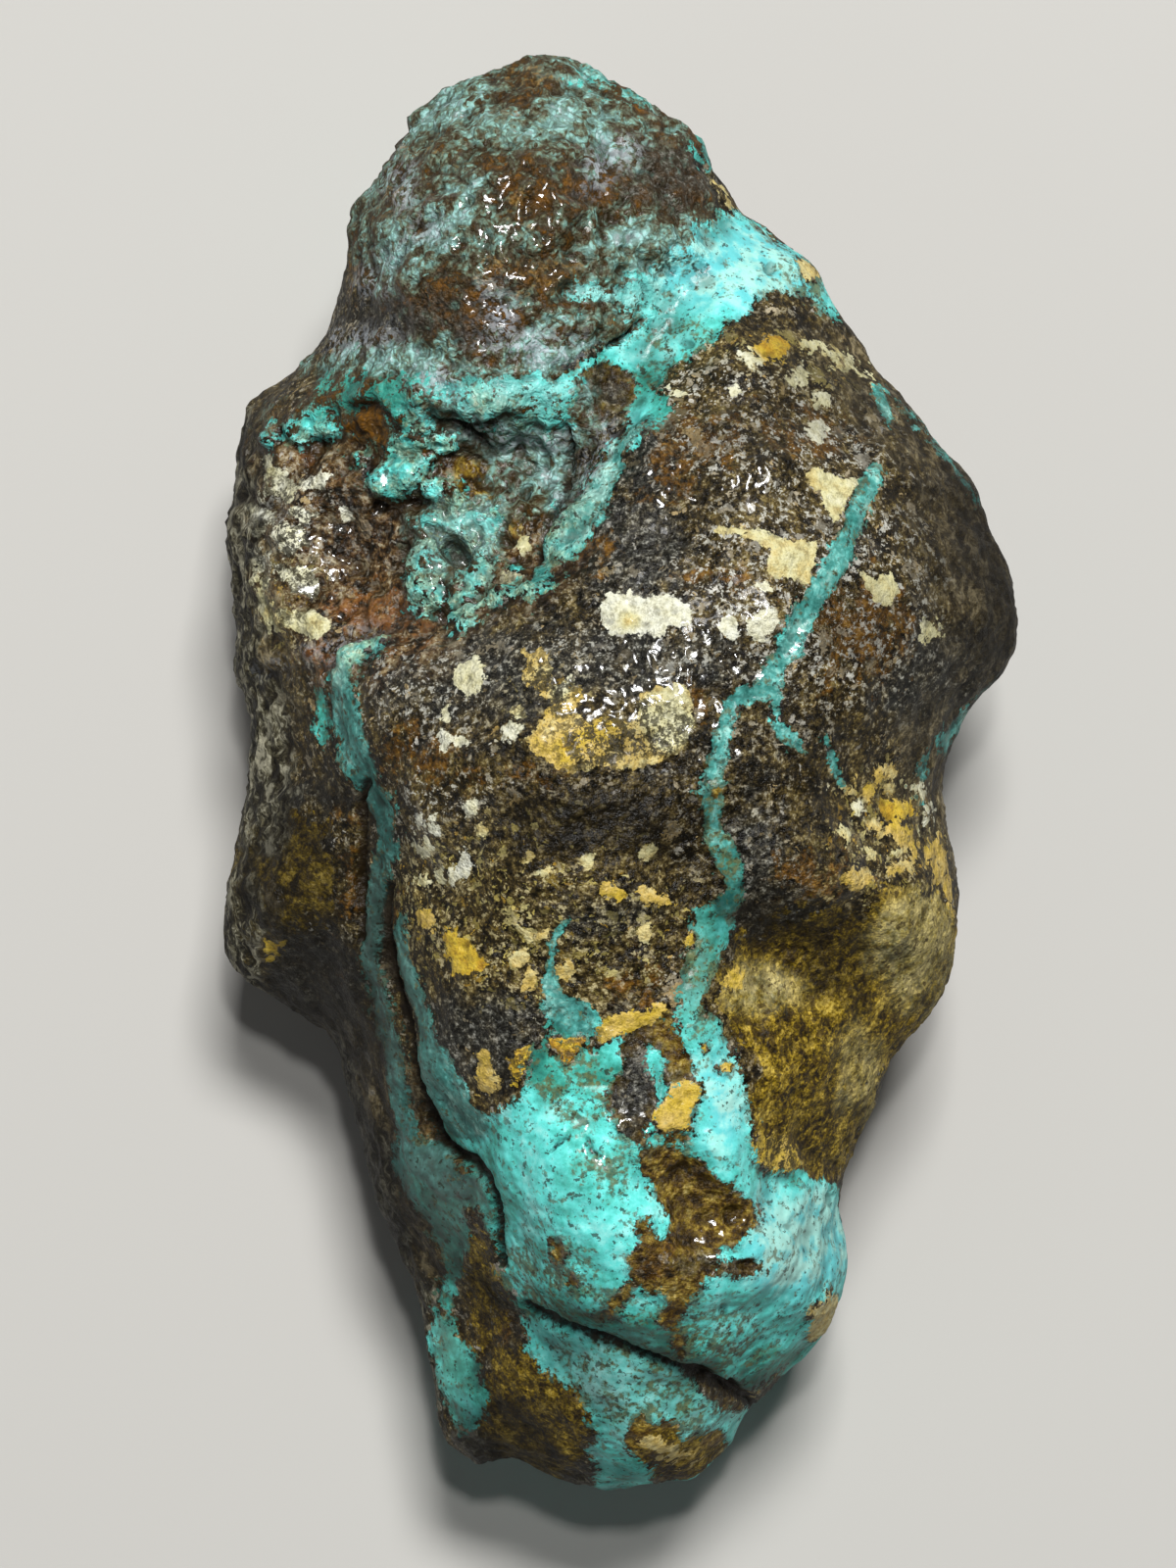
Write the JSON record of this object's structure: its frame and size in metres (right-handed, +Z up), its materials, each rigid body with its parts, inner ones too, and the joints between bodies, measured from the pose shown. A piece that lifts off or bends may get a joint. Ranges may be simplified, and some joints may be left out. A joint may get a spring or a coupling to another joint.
{
  "type": "raw turquoise nugget",
  "caption": "Rough turquoise nugget: a lumpy, elongated stone with a knobbly end, an open hollow, raised veins and a stepped cap, lying on a small worn flat.",
  "frame": {"origin": "on the resting plane, below the middle of the bounding box", "axes": "+Y along the stone's length to its narrow knobbly end, +Z up, out of the face with the turquoise cap and veins"},
  "size_m": [0.036, 0.065, 0.0266],
  "materials": {
    "stone": "rough brown and charcoal breccia with blue-green turquoise veins and cap, cream and ochre fragments, wet gloss"
  },
  "bodies": {
    "root": {"nugget": "stone"}
  },
  "joints": []
}
